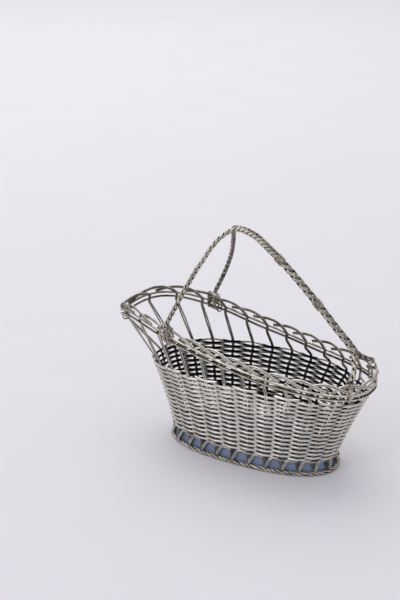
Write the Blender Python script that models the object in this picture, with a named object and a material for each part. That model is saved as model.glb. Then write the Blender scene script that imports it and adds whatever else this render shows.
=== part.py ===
"""Wine bottle basket in plated wire: an oval woven wall with a braided rim and a twisted handle.

Metres, +Z up. X runs along the basket with the neck end at -X, and Y runs across it. The origin is
on the table, under the middle of the rim. Places round the basket are shares of a full turn, from 0
at the rear tip, over the far side (+Y), to 1 at the rear tip again.
"""

import math

import bmesh
import bpy
import numpy as np
from mathutils import Vector

# Fits
CLEARANCE = 0.0003  # left between two pieces that touch

# Wires, by diameter
STAKE_WIRE = 0.00125  # one of the two wires of a stake
WEAVER_WIRE = 0.00205
WEAVER_SIDE = WEAVER_WIRE * math.sqrt(math.pi) / 2  # of the square section with the round wire's area
HOOP_WIRE = 0.0020
LACING_WIRE = 0.0012
LASHING_WIRE = 0.0013
BINDING_WIRE = 0.0011
EYE_WIRE = 0.0012
HANDLE_ROPE = 0.0042
FOOT_ROPE = 0.0037

# Stakes
STAKE_COUNT = 26
STAKE_FOOT_SHARE = 0.2  # how far a stake leans on below the weave, as a share of the way to the next
STAKE_SHOULDER_SHARE = 0.9  # how broad a stake's flat is, of the distance between its two wires

# Foot
FOOT_CENTRE = 0.0130
FOOT_LENGTH = 0.1706
FOOT_WIDTH = 0.0794
STAKE_INSIDE_FOOT = 0.0003  # where a stake stands, inside the foot ring's middle
FOOT_SQUARENESS = 2.35

# Base pan, which lies inside the foot
PAN_SHEET = 0.0010
PAN_UNDERSIDE = 0.0008
PAN_CORNER = 0.0015

# Woven wall, measured over its outer face
WALL_BASE_HEIGHT = 0.0124
WALL_BASE_LENGTH = 0.1680
WALL_BASE_WIDTH = 0.0758
WALL_TOP_CENTRE = 0.0160
WALL_TOP_LENGTH = 0.2188
WALL_TOP_WIDTH = 0.1028
WALL_TOP_SQUARENESS = 2.25
WALL_TOP_HEIGHT = 0.0851
WALL_TOP_DROP = 0.0056  # how much lower the top edge is at the two tips
WALL_BOW = 0.0014  # how far the wall's middle lies inside a straight line
WALL_LEVEL_SHARES = (0, 0.33, 0.67, 1.015)
WEAVE_ROWS = 31
WEAVE_SLACK = 0.00035  # room for a weaver's straight run to clear the stake's edges
WEAVE_START = 3  # the stake that the weaver is folded round to start
WEAVE_FOLD_SHARE = 0.22  # how far the fold stands from that stake, as a share of the way to its neighbour

# Rim, measured on the centreline of the hoops
RIM_CENTRE = -0.0007
RIM_LENGTH = 0.2574
RIM_WIDTH = 0.0950
RIM_SQUARENESS = 2.6
RIM_TIP_SQUARENESS = 1.85  # at the neck end, which comes to a blunt point
TIP_BLEND_POWER = 6
RIM_REAR_HEIGHT = 0.0892
RIM_RISE = 0.0524  # how much the rim would climb to the neck end if it didn't dip there
RIM_RISE_POWER = 1.7
RIM_DIP = 0.0286  # how far the lip at the neck tip dips from that climb
RIM_DIP_POWER = 12
HOOP_SPACING_REAR = 0.0030
HOOP_SPACING_NECK = 0.0044
HOOP_STEPS = 3  # points between two stakes

# Braided border: places along one stake's arch, as (stakes onward, share of the arch's height,
# share of the way from the stake's line behind the hoops to the line in front of them)
ARCH_HEIGHT_REAR = 0.0098
ARCH_HEIGHT_NECK = 0.0056
BORDER_FRONT = 0.0021  # how far the arch's end lies in front of the hoops' line
ARCH_SHARES = (
    (0, 0.07, 0),
    (0.1, 0.36, 0.03),
    (0.34, 0.78, 0.13),
    (0.66, 1, 0.32),
    (0.98, 0.9, 0.57),
    (1.24, 0.62, 0.82),
    (1.48, 0.36, 0.98),
    (1.7, 0.25, 1),
)

# How far the stakes stand from even places round the basket, as shares of a full turn
RIM_SHIFT_SHARES = (0.0178, 0.0072)
BASE_SHIFT_SHARES = (0.0040, -0.0060)

# Foot lacing: places between two stakes, as (stakes onward, share of the window's height)
LACING_SHARES = ((0.2, 0), (0.46, 0.93), (0.62, 1), (0.82, 1), (0.98, 0.9))

# Lashings that tie the handle to the rim, placed in stakes from the rear tip, between two stakes
NECK_KNOT = 16.5
REAR_KNOT = 24.72
LASHING_TURNS = 3
LASHING_PITCH = 0.0020
LASHING_STEPS = 12
LOOP_SQUARENESS = 2.5

# Handle
APEX_PLACE = -0.0058
APEX_HEIGHT = 0.2147
ROPE_STANDS_OUT = 0.0014  # how far the front legs' feet lie outside the hoops' line
# Places along a front leg, as shares of the way from its foot to the apex, and of its spread
FRONT_LEG_SHARES = (
    (0, 0, 1),
    (0.1, 0.118, 0.994),
    (0.242, 0.286, 0.959),
    (0.328, 0.398, 0.925),
    (0.419, 0.51, 0.849),
    (0.498, 0.622, 0.745),
    (0.584, 0.734, 0.6),
    (0.667, 0.846, 0.445),
    (0.756, 0.93, 0.26),
    (0.87, 0.982, 0.12),
)
REAR_LEG_START = 0.0092  # along the basket, where the rear leg turns straight
REAR_LEG_START_DROP = 0.0033
REAR_LEG_BOW = 0.0058  # how far the rear leg rises above a straight line
REAR_LEG_BOW_SHARE = 0.8  # under 1, the bow is fullest nearer the apex
REAR_LEG_SHARES = (0.16, 0.33, 0.5, 0.67, 0.84, 1)
SPLIT_PLACE = 0.1095  # where the two ropes part
SPLIT_HEIGHT = 0.1200
# Places between the split and a rope's rear end, as shares of the way along, down and out
SPLIT_SHARES = ((0.3, 0.3, 0.2), (0.75, 0.62, 0.5), (1.02, 0.85, 0.82))
ROPE_STEPS = 44
UPPER_BINDING_SHARE = 0.26  # of the way from the apex to the split
LOWER_BINDING_SHARE = 0.64
BINDING_TURNS = 3
BINDING_PITCH = 0.0016
BINDING_STEPS = 14

# Wire eye threaded on the lower hoop at the neck end
EYE_KNOT = 14.18
EYE_DIAMETER = 0.0078
EYE_OUTWARD = 0.0010
EYE_STEPS = 18

OVAL_SAMPLES = 1440
TANGENT_STEP_SHARE = 0.002
PITCH_SHARE = 1 / STAKE_COUNT


class Oval:
    """A superellipse with its points spaced evenly by their length along it. Its tip at -X may be
    less square."""

    def __init__(self, centre, length, width, squareness, tip_squareness):
        angle = np.linspace(0, 2 * math.pi, OVAL_SAMPLES + 1)
        near_tip = np.maximum(0, -np.cos(angle)) ** TIP_BLEND_POWER
        power = squareness + (tip_squareness - squareness) * near_tip
        across = np.abs(np.cos(angle) / (length / 2)) ** power
        along = np.abs(np.sin(angle) / (width / 2)) ** power
        reach = (across + along) ** (-1 / power)
        self.x = centre + reach * np.cos(angle)
        self.y = reach * np.sin(angle)
        run = np.concatenate([[0], np.cumsum(np.hypot(np.diff(self.x), np.diff(self.y)))])
        self.shares = run / run[-1]

    def at(self, share):
        share = share % 1
        return Vector((np.interp(share, self.shares, self.x), np.interp(share, self.shares, self.y), 0))

    def outward(self, share):
        along = self.at(share + TANGENT_STEP_SHARE) - self.at(share - TANGENT_STEP_SHARE)
        return Vector((along.y, -along.x, 0)).normalized()

    def offset(self, share, distance, height):
        place = self.at(share) + distance * self.outward(share)
        place.z = height
        return place


FOOT = Oval(FOOT_CENTRE, FOOT_LENGTH - FOOT_ROPE, FOOT_WIDTH - FOOT_ROPE, FOOT_SQUARENESS, FOOT_SQUARENESS)
WALL_BASE = Oval(FOOT_CENTRE, WALL_BASE_LENGTH, WALL_BASE_WIDTH, FOOT_SQUARENESS, FOOT_SQUARENESS)
WALL_TOP = Oval(WALL_TOP_CENTRE, WALL_TOP_LENGTH, WALL_TOP_WIDTH, WALL_TOP_SQUARENESS, WALL_TOP_SQUARENESS)
RIM = Oval(RIM_CENTRE, RIM_LENGTH, RIM_WIDTH, RIM_SQUARENESS, RIM_TIP_SQUARENESS)

WEAVE_SWING = (STAKE_WIRE + WEAVER_SIDE) / 2 + CLEARANCE + WEAVE_SLACK
STAKE_DEPTH = WEAVE_SWING + WEAVER_SIDE / 2  # from the wall's outer face to a stake's middle
STAKE_END_HEIGHT = FOOT_ROPE + CLEARANCE + STAKE_WIRE / 2
STAKE_INSIDE_RIM = HOOP_WIRE / 2 + CLEARANCE + STAKE_WIRE / 2


def wall_top_height(share):
    """The weave's top edge is highest in the middle and a little lower at the tips."""
    along = (WALL_TOP.at(share).x - WALL_TOP_CENTRE) / (WALL_TOP_LENGTH / 2)
    return WALL_TOP_HEIGHT - WALL_TOP_DROP * along**2


def shifted(share, shift_shares):
    """A place round the basket, moved the same way on both sides and not at all at the tips."""
    once, twice = shift_shares
    turn = 2 * math.pi * share
    return share - once * math.sin(turn) + twice * math.sin(2 * turn)


def rim_share(share):
    """Where on the rim a stake from this place round the wall's top arrives, fanned out at the neck."""
    return shifted(share, RIM_SHIFT_SHARES)


def base_share(share):
    """Where on the wall's base and the foot a stake from this place round the wall's top stands."""
    return shifted(share, BASE_SHIFT_SHARES)


def wall_outward(share, level):
    return WALL_BASE.outward(base_share(share)).lerp(WALL_TOP.outward(share), level)


def wall_point(share, level, depth):
    """A place in the woven wall: level 0 at its base and 1 at its top, depth inward from its face."""
    bow = WALL_BOW * 4 * level * (1 - level)
    base = WALL_BASE.offset(base_share(share), -depth - bow, WALL_BASE_HEIGHT)
    top = WALL_TOP.offset(share, -depth - bow, wall_top_height(share))
    return base.lerp(top, level)


def towards_neck(place):
    """How far along the rim's length a place is, from 0 at the rear tip to 1 at the neck tip."""
    return min(max((RIM_CENTRE + RIM_LENGTH / 2 - place.x) / RIM_LENGTH, 0), 1)


def rim_height(place):
    """The upper hoop's height, which climbs towards the neck end and dips in a lip at its tip."""
    climb = towards_neck(place)
    return RIM_REAR_HEIGHT + RIM_RISE * climb**RIM_RISE_POWER - RIM_DIP * climb**RIM_DIP_POWER


def hoop_spacing(place):
    return HOOP_SPACING_REAR + (HOOP_SPACING_NECK - HOOP_SPACING_REAR) * towards_neck(place)


def arch_height(place):
    return ARCH_HEIGHT_REAR + (ARCH_HEIGHT_NECK - ARCH_HEIGHT_REAR) * towards_neck(place)


def rim_point(share, outward, above):
    """A place at the rim, from the upper hoop's centreline."""
    on_hoop = RIM.at(share)
    return RIM.offset(share, outward, rim_height(on_hoop) + above)


def catmull_rom(points, steps):
    """Evenly spaced places on a smooth curve through the points."""
    points = [points[0] * 2 - points[1], *points, points[-1] * 2 - points[-2]]
    fine = []
    fineness = 20
    for first, second, third, fourth in zip(points, points[1:], points[2:], points[3:]):
        for step in range(fineness):
            t = step / fineness
            fine.append(
                (
                    second * 2
                    + (third - first) * t
                    + (first * 2 - second * 5 + third * 4 - fourth) * t**2
                    + (second * 3 - first - third * 3 + fourth) * t**3
                )
                / 2
            )
    fine.append(points[-2])
    run = np.concatenate([[0], np.cumsum([(b - a).length for a, b in zip(fine, fine[1:])])])
    wanted = np.linspace(0, run[-1], steps)
    return [Vector([np.interp(w, run, [p[axis] for p in fine]) for axis in range(3)]) for w in wanted]


def metal(name, colour, roughness):
    """Tarnished silver plate, told apart by how dark and how worn it is."""
    material = bpy.data.materials.new(name)
    material.use_nodes = True
    shader = material.node_tree.nodes["Principled BSDF"]
    shader.inputs["Base Color"].default_value = (*colour, 1)
    shader.inputs["Metallic"].default_value = 1
    shader.inputs["Roughness"].default_value = roughness
    return material


def add_object(name, data, material):
    data.materials.append(material)
    piece = bpy.data.objects.new(name, data)
    bpy.context.scene.collection.objects.link(piece)
    return piece


def tube(name, points, diameter, material, closed=False, sides_step=1):
    """A wire or rope bent along the points."""
    curve = bpy.data.curves.new(name, "CURVE")
    curve.dimensions = "3D"
    curve.bevel_depth = diameter / 2
    curve.bevel_resolution = sides_step
    curve.use_fill_caps = not closed
    spline = curve.splines.new("POLY")
    spline.points.add(len(points) - 1)
    for point, place in zip(spline.points, points):
        point.co = (*place, 1)
    spline.use_cyclic_u = closed
    return add_object(name, curve, material)


def loft(name, rings, material, closed=False):
    """A skin over rings of points, capped at both ends or closed on itself."""
    mesh = bmesh.new()
    loops = [[mesh.verts.new(place) for place in ring] for ring in rings]
    following = loops[1:] + loops[:1] if closed else loops[1:]
    for loop, after in zip(loops, following):
        for index in range(len(loop)):
            beside = index - 1
            mesh.faces.new((loop[beside], loop[index], after[index], after[beside]))
    if not closed:
        mesh.faces.new(loops[0])
        mesh.faces.new(loops[-1])
    return finish_mesh(name, mesh, material)


def finish_mesh(name, mesh, material):
    bmesh.ops.recalc_face_normals(mesh, faces=mesh.faces)
    data = bpy.data.meshes.new(name)
    mesh.to_mesh(data)
    mesh.free()
    data.shade_smooth()
    data.set_sharp_from_angle(angle=math.radians(50))
    return add_object(name, data, material)


def foot_point(share, climb):
    """A place in line with the stakes, between the foot ring at 0 and the woven wall at 1."""
    foot = FOOT.offset(base_share(share), -STAKE_INSIDE_FOOT, STAKE_END_HEIGHT)
    return foot.lerp(wall_point(share, 0, STAKE_DEPTH), climb)


def stake_path(share):
    """Places along a stake's middle from foot to border, each with its outward direction."""
    on_foot = share + STAKE_FOOT_SHARE * PITCH_SHARE
    path = [(foot_point(on_foot, 0), FOOT.outward(base_share(on_foot)))]
    for level in WALL_LEVEL_SHARES:
        path.append((wall_point(share, level, STAKE_DEPTH), wall_outward(share, level)))
    at_rim = rim_share(share)
    below_hoops = -hoop_spacing(RIM.at(at_rim)) - HOOP_WIRE
    path.append((rim_point(at_rim, -STAKE_INSIDE_RIM, below_hoops), RIM.outward(at_rim)))
    for onward, up, forward in ARCH_SHARES:
        place = rim_share(share + onward * PITCH_SHARE)
        outward = -STAKE_INSIDE_RIM + forward * (STAKE_INSIDE_RIM + BORDER_FRONT)
        path.append((rim_point(place, outward, up * arch_height(RIM.at(place))), RIM.outward(place)))
    return path


def stake_section():
    """Outline of two wires laid side by side, as (across, outward)."""
    radius = STAKE_WIRE / 2
    shoulder = radius * STAKE_SHOULDER_SHARE
    one_side = [(2 * radius, 0), (shoulder, radius), (-shoulder, radius)]
    return one_side + [(-across, -outward) for across, outward in one_side]


def make_stake(index, material):
    path = stake_path(index * PITCH_SHARE)
    places = [place for place, outward in path]
    before = [places[0], *places[:-1]]
    after = [*places[1:], places[-1]]
    rings = []
    for (place, outward), last, following in zip(path, before, after):
        along = (following - last).normalized()
        across = along.cross(outward).normalized()
        face = across.cross(along)
        rings.append([place + u * across + v * face for u, v in stake_section()])
    return loft(f"stake_{index + 1:02d}", rings, material)


def tip_room(share):
    """How much further out a weaver passes a stake where the wall turns round a tip."""
    half_pitch = PITCH_SHARE / 2
    before = WALL_BASE.outward(base_share(share - half_pitch))
    after = WALL_BASE.outward(base_share(share + half_pitch))
    return STAKE_WIRE * math.tan(before.angle(after) / 2)


def weave_place(stake, row):
    """Where the weaver passes a stake in a row: outside it, and in the next row inside it."""
    share = stake * PITCH_SHARE
    outside = (stake + row) % 2 == 0
    swing = WEAVE_SWING + tip_room(share) if outside else -WEAVE_SWING
    return wall_point(share, (row + 0.5) / WEAVE_ROWS, STAKE_DEPTH - swing)


def weaver_path():
    """One wire, folded in half round a stake: its two halves climb the same way round, a row apart."""
    halves = []
    for first_row in (0, 1):
        half = []
        for row in range(first_row, WEAVE_ROWS, 2):
            for stake in range(WEAVE_START, WEAVE_START + STAKE_COUNT):
                half.append(weave_place(stake, row))
        halves.append(half)
    fold = wall_point((WEAVE_START - WEAVE_FOLD_SHARE) * PITCH_SHARE, 1 / WEAVE_ROWS, STAKE_DEPTH)
    return [*reversed(halves[0]), fold, *halves[1]]


def make_wall(material):
    """The woven wall: one long weaver that passes over one stake and under the next."""
    path = weaver_path()
    before = [path[0], *path[:-1]]
    after = [*path[1:], path[-1]]
    half = WEAVER_SIDE / 2
    rings = []
    for place, last, following in zip(path, before, after):
        along = (following - last).normalized()
        beside = along.cross(Vector((0, 0, 1))).normalized() * half
        above = beside.cross(along).normalized() * half
        rings.append(
            [
                place + beside + above,
                place - beside + above,
                place - beside - above,
                place + beside - above,
            ]
        )
    return loft("woven_wall", rings, material)


def make_foot_ring(material):
    """The laid foot ring, eight-sided so that it stands on a flat."""
    sides = 8
    steps = 3 * STAKE_COUNT
    radius = FOOT_ROPE / 2
    corner = radius / math.cos(math.pi / sides)
    rings = []
    for step in range(steps):
        share = step / steps
        ring = []
        for side in range(sides):
            angle = (side + 0.5) * 2 * math.pi / sides
            ring.append(FOOT.offset(share, corner * math.cos(angle), radius + corner * math.sin(angle)))
        rings.append(ring)
    return loft("foot_ring", rings, material, closed=True)


def make_pan(material):
    """An oval sheet-metal pan that closes the bottom, its side leaning in behind the stakes' feet."""
    low = -FOOT_ROPE / 2 - 2 * CLEARANCE
    high = -STAKE_DEPTH - STAKE_WIRE / 2 - CLEARANCE
    top = WALL_BASE_HEIGHT - CLEARANCE
    profile = (
        (FOOT, low - PAN_CORNER, PAN_UNDERSIDE),
        (FOOT, low, PAN_UNDERSIDE + PAN_CORNER),
        (WALL_BASE, high, top),
        (WALL_BASE, high - PAN_SHEET, top),
        (FOOT, low - PAN_SHEET, PAN_UNDERSIDE + PAN_CORNER),
        (FOOT, low - PAN_CORNER, PAN_UNDERSIDE + PAN_SHEET),
    )
    steps = 2 * STAKE_COUNT
    rings = []
    for oval, distance, height in profile:
        rings.append([oval.offset(step / steps, distance, height) for step in range(steps)])
    return loft("base_pan", rings, material)


def make_lacing(material):
    """The wire that zigzags from stake to stake between the foot ring and the weave."""
    margin = CLEARANCE + LACING_WIRE / 2
    window = WALL_BASE_HEIGHT - STAKE_END_HEIGHT
    outward = (STAKE_WIRE + LACING_WIRE) / 2 + CLEARANCE
    points = []
    for index in range(STAKE_COUNT):
        for onward, up in LACING_SHARES:
            share = (index + onward) * PITCH_SHARE
            climb = (margin + up * (window - 2 * margin)) / window
            points.append(foot_point(share, climb) + outward * FOOT.outward(base_share(share)))
    return tube("foot_lacing", points, LACING_WIRE, material, closed=True, sides_step=0)


def make_hoops(material):
    steps = HOOP_STEPS * STAKE_COUNT
    shares = [rim_share(step / steps) for step in range(steps)]
    upper = [rim_point(share, 0, 0) for share in shares]
    tube("upper_hoop", upper, HOOP_WIRE, material, closed=True)
    lower = [rim_point(share, 0, -hoop_spacing(place)) for share, place in zip(shares, upper)]
    tube("lower_hoop", lower, HOOP_WIRE, material, closed=True)


def loop_place(angle, half_width, half_height):
    """A place on a rounded oblong loop, as (outward, up)."""
    across, up = math.cos(angle), math.sin(angle)
    power = 2 / LOOP_SQUARENESS
    return (
        math.copysign(abs(across) ** power, across) * half_width,
        math.copysign(abs(up) ** power, up) * half_height,
    )


def lashing_size(share):
    """A lashing's loop round the whole rim: how far out, its middle's height and its half height."""
    margin = CLEARANCE + LASHING_WIRE / 2
    outward = BORDER_FRONT + STAKE_WIRE / 2 + margin
    top = arch_height(RIM.at(share)) + STAKE_WIRE + margin
    bottom = -hoop_spacing(RIM.at(share)) - HOOP_WIRE / 2 - margin
    return outward, (top + bottom) / 2, (top - bottom) / 2


def winding_gap(points, steps, wire):
    """The least gap between one turn of a winding and the next."""
    apart = [(after - before).length for before, after in zip(points, points[steps:])]
    return min(apart) - wire


def make_lashing(name, share, material):
    """Turns of wire round the hoops and the border, between two stakes."""
    outward, middle, half_height = lashing_size(share)
    turn_share = LASHING_PITCH / (RIM.at(share) - RIM.at(share + PITCH_SHARE)).length * PITCH_SHARE
    steps = LASHING_TURNS * LASHING_STEPS
    points = []
    for step in range(steps + 1):
        angle = step / LASHING_STEPS * 2 * math.pi - math.pi / 2
        out, up = loop_place(angle, outward, half_height)
        place = share + (step / LASHING_STEPS - LASHING_TURNS / 2) * turn_share
        points.append(rim_point(place, out, middle + up))
    print(name, "least gap in mm:", round(winding_gap(points, LASHING_STEPS, LASHING_WIRE) * 1000, 2))
    return tube(name, points, LASHING_WIRE, material)


def rope_end(share, outward):
    """Where a rope of the handle stands on its lashing."""
    _, middle, half_height = lashing_size(share)
    seat = middle + half_height + LASHING_WIRE / 2 + CLEARANCE + HANDLE_ROPE / 4
    return rim_point(share, outward, seat)


def rear_leg_point(share, beside):
    """A place on the rear leg, from the apex at 0 to the split at 1."""
    start = Vector((REAR_LEG_START, beside, APEX_HEIGHT - REAR_LEG_START_DROP))
    split = Vector((SPLIT_PLACE, beside, SPLIT_HEIGHT))
    place = start.lerp(split, share)
    place.z += REAR_LEG_BOW * math.sin(math.pi * share**REAR_LEG_BOW_SHARE)
    return place


def rope_path(side):
    """The rope's way from the neck knot over the apex to the rear knot; side is -1 near, 1 far."""
    beside = side * (HANDLE_ROPE + CLEARANCE) / 2
    foot = rope_end(rim_share(NECK_KNOT * PITCH_SHARE), ROPE_STANDS_OUT)
    foot.y = abs(foot.y) * side
    apex = Vector((APEX_PLACE, beside, APEX_HEIGHT))
    points = []
    for along, up, out in FRONT_LEG_SHARES:
        spread = side * max(abs(foot.y) * out, abs(beside))
        points.append(Vector((foot.x + (apex.x - foot.x) * along, spread, foot.z + (apex.z - foot.z) * up)))
    points.append(apex)
    for share in (0, *REAR_LEG_SHARES):
        points.append(rear_leg_point(share, beside))
    split = points[-1]
    end = rope_end(rim_share(REAR_KNOT * PITCH_SHARE), 0)
    end.y = abs(end.y) * side
    for along, down, out in SPLIT_SHARES:
        points.append(
            Vector(
                (
                    split.x + (end.x - split.x) * along,
                    split.y + (end.y - split.y) * out,
                    split.z + (end.z - split.z) * down,
                )
            )
        )
    points.append(end)
    path = catmull_rom(points, ROPE_STEPS)
    for place in path:
        place.y = side * max(side * place.y, abs(beside))
    return path


def make_binding(name, share, material):
    """Turns of thin wire that hold the two ropes of the rear leg together."""
    middle = rear_leg_point(share, 0)
    along = (rear_leg_point(share + TANGENT_STEP_SHARE, 0) - middle).normalized()
    across = Vector((0, 1, 0))
    up = along.cross(across)
    margin = CLEARANCE + BINDING_WIRE
    half_width = HANDLE_ROPE + CLEARANCE / 2 + margin
    half_height = HANDLE_ROPE / 2 + margin
    points = []
    for step in range(BINDING_TURNS * BINDING_STEPS + 1):
        out, rise = loop_place(step / BINDING_STEPS * 2 * math.pi, half_width, half_height)
        run = (step / BINDING_STEPS - BINDING_TURNS / 2) * BINDING_PITCH
        points.append(middle + run * along + out * across + rise * up)
    print(name, "least gap in mm:", round(winding_gap(points, BINDING_STEPS, BINDING_WIRE) * 1000, 2))
    return tube(name, points, BINDING_WIRE, material)


def make_eye(material):
    """A small open ring of wire, threaded on the lower hoop beside the neck."""
    share = rim_share(EYE_KNOT * PITCH_SHARE)
    under_upper_hoop = -(HOOP_WIRE + EYE_WIRE) / 2 - CLEARANCE
    radius = (EYE_DIAMETER - EYE_WIRE) / 2
    points = []
    for step in range(EYE_STEPS):
        angle = step / EYE_STEPS * 2 * math.pi
        outward = EYE_OUTWARD + radius * math.cos(angle)
        points.append(rim_point(share, outward, under_upper_hoop - radius + radius * math.sin(angle)))
    return tube("lip_eye", points, EYE_WIRE, material, closed=True)


def build():
    for leftover in list(bpy.data.objects):
        bpy.data.objects.remove(leftover)
    stake_metal = metal("stake_wire", (0.42, 0.39, 0.33), 0.38)
    weave_metal = metal("woven_wire", (0.56, 0.53, 0.48), 0.36)
    hoop_metal = metal("hoop_wire", (0.47, 0.42, 0.34), 0.32)
    foot_metal = metal("foot_wire", (0.35, 0.32, 0.25), 0.42)
    rope_metal = metal("handle_rope", (0.36, 0.33, 0.27), 0.42)
    tie_metal = metal("tie_wire", (0.44, 0.4, 0.33), 0.36)
    pan_metal = metal("pan_sheet", (0.13, 0.16, 0.22), 0.5)

    make_foot_ring(foot_metal)
    make_pan(pan_metal)
    make_lacing(foot_metal)
    for index in range(STAKE_COUNT):
        make_stake(index, stake_metal)
    make_wall(weave_metal)
    make_hoops(hoop_metal)
    make_eye(tie_metal)
    for side, word in ((-1, "near"), (1, "far")):
        tube(f"{word}_rope", rope_path(side), HANDLE_ROPE, rope_metal, sides_step=2)
        for knot, end in ((NECK_KNOT, "neck"), (REAR_KNOT, "rear")):
            share = rim_share(-side * knot * PITCH_SHARE)
            make_lashing(f"{word}_{end}_lashing", share, tie_metal)
    make_binding("upper_binding", UPPER_BINDING_SHARE, tie_metal)
    make_binding("lower_binding", LOWER_BINDING_SHARE, tie_metal)


build()
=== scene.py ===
"""The wine bottle basket as it looks: every silver-plated wire of its weave, border, foot and handle.

Metres, +Z up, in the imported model's frame. Places round the basket are shares of a full turn, from 0
at the rear tip, over the far side (+Y), to 1 at the rear tip again.
"""

import math
import random

import bpy
import numpy as np
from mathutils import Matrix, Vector, kdtree


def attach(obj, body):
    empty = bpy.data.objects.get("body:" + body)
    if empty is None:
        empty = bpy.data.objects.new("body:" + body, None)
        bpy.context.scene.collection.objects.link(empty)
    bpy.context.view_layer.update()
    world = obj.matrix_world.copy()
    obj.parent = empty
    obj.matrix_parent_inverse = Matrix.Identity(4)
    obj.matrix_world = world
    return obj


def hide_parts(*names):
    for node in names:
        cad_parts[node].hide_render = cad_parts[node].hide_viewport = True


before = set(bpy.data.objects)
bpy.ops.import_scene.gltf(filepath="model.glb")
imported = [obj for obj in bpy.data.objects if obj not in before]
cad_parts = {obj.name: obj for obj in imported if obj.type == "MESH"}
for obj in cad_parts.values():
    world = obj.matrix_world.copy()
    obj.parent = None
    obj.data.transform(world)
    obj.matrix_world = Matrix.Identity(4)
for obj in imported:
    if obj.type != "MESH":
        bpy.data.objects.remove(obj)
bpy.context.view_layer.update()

# Wires, by diameter. Where one looks thicker than packed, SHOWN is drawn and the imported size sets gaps.
STAKE_WIRE = 0.00125
STAKE_SHOWN = 0.0015
WEAVER_WIRE = 0.00232
HOOP_WIRE = 0.0020
HOOP_SHOWN = 0.0022
LACING_WIRE = 0.0013
KNOT_WIRE = 0.0015  # the neck knots', as it looks
BINDING_WIRE = 0.00095
EYE_WIRE = 0.0012
HANDLE_ROPE = 0.0042
HANDLE_WIRE = 0.00165
HANDLE_STRAND = 0.00145  # from the rope's middle to the middle of one of its wires
FOOT_ROPE = 0.0037
FOOT_SHOWN = 0.0042
FOOT_WIRE = 0.0021
CLEARANCE = 0.0003

# Stakes and weave
STAKE_COUNT = 26
PITCH_SHARE = 1 / STAKE_COUNT
STAKE_FOOT_SHARE = 0.2  # how far round its foot stands from its line in the weave, in stakes
STAKE_SPACING = 0.0016  # between two points along a stake
BAND_SHARES = (0.12, 0.5, 0.88)  # places along a stake in the open band
BAND_POINT = 7  # the middle one of these, counted along a stake's path
STAKE_DEPTH = 0.00309  # from the wall's outer face to a stake's middle
PAIR_SPACING = 0.0015  # between the two wires of a stake
NECK_SPREAD = 0.0009  # how much further apart they stand in the open band at the neck
WEAVE_ROWS = 31
WEAVE_START = 3  # the stake that the weaver is folded round to start
WEAVE_FOLD_SHARE = 0.22
WEAVE_FOLD_STEPS = 6
WEAVE_STEPS = 8  # points between two stakes
ROW_WANDER = 0.00016  # how far a row strays from its height
ROW_WAVES = (5, 13)  # waves of that in one round, two kinds
DEPTH_WANDER_SHARE = 0.09
DEPTH_WAVES = 7
FULLNESS_SHARES = (-0.15, 0.08, -0.07)  # a weaver's added thickness behind, between and in front of stakes

# Foot
FOOT_CENTRE = 0.0130
FOOT_LENGTH = 0.1706
FOOT_WIDTH = 0.0794
STAKE_INSIDE_FOOT = 0.0003
FOOT_SQUARENESS = 2.35
FOOT_TURNS = 22  # turns of the laid foot rope in one round
FOOT_STEPS = 12  # points a turn
FOOT_STRAY_SHARE = 0.09  # how far its lay strays, in turns
FOOT_STRAY_WAVES = (7, 18)
FOOT_THINNING_SHARE = 0.1  # how much its wires thin in places
FOOT_THINNING_WAVES = (11, 29)

# Woven wall, measured over its outer face
WALL_BASE_HEIGHT = 0.0124
WALL_BASE_LENGTH = 0.1680
WALL_BASE_WIDTH = 0.0758
WALL_TOP_CENTRE = 0.0160
WALL_TOP_LENGTH = 0.2188
WALL_TOP_WIDTH = 0.1028
WALL_TOP_SQUARENESS = 2.25
WALL_TOP_HEIGHT = 0.0851
WALL_TOP_DROP = 0.0056
WALL_BOW = 0.0014
WALL_LEVEL_SHARES = (0, 0.25, 0.5, 0.75, 1.015)  # places along a stake in the weave

# Rim, measured on the centreline of the hoops
RIM_CENTRE = -0.0007
RIM_LENGTH = 0.2574
RIM_WIDTH = 0.0950
RIM_SQUARENESS = 2.6
RIM_TIP_SQUARENESS = 1.85
TIP_BLEND_POWER = 6
RIM_REAR_HEIGHT = 0.0892
RIM_RISE = 0.0524
RIM_RISE_POWER = 1.7
RIM_DIP = 0.0286
RIM_DIP_POWER = 12
HOOP_SPACING_REAR = 0.0035  # from the upper hoop's middle down to the lower one's
HOOP_SPACING_NECK = 0.0046
HOOP_STEPS = 8  # points between two stakes
HOOP_WANDER = 0.0002
HOOP_WAVES = 9
HOOP_PHASES = (0.4, 2.1)  # of the upper and the lower hoop, in radians

# Braided border: places along one stake's arch, as (stakes onward, share of the arch's height,
# share of the way from the stake's line behind the hoops to the line in front of them)
ARCH_HEIGHT_REAR = 0.0098
ARCH_HEIGHT_NECK = 0.0056
BORDER_FRONT = 0.0021
ARCH_SHARES = (
    (0, 0.07, 0),
    (0.1, 0.36, 0.03),
    (0.34, 0.78, 0.13),
    (0.66, 1, 0.28),
    (0.98, 0.94, 0.42),
    (1.24, 0.76, 0.55),
    (1.5, 0.53, 0.64),
    (1.76, 0.34, 0.68),
)

# How far the stakes stand from even places round the basket, as shares of a full turn
RIM_SHIFT_SHARES = (0.0178, 0.0072)
BASE_SHIFT_SHARES = (0.0040, -0.0060)

# Foot lacing: places between two stakes, as (stakes onward, share of the window's height)
LACING_SHARES = (
    (0.2, 0),
    (0.24, 0.2),
    (0.37, 1),
    (0.41, 1.24),
    (0.49, 1.34),
    (0.97, 1.34),
    (1.07, 1.24),
    (1.11, 1),
    (1.17, 0.2),
)
LACING_SPACING = 0.0011  # between two points along it
LACING_FALL = 5.5  # from here, counted along these places, it comes down and is dull

# Knots that tie the handle to the rim, placed in stakes from the rear tip
NECK_KNOT = 16.5
REAR_KNOT = 24.72
LASHING_WIRE = 0.0013
LOOP_SQUARENESS = 2.5
KNOT_STEPS = 20  # points a turn
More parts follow.
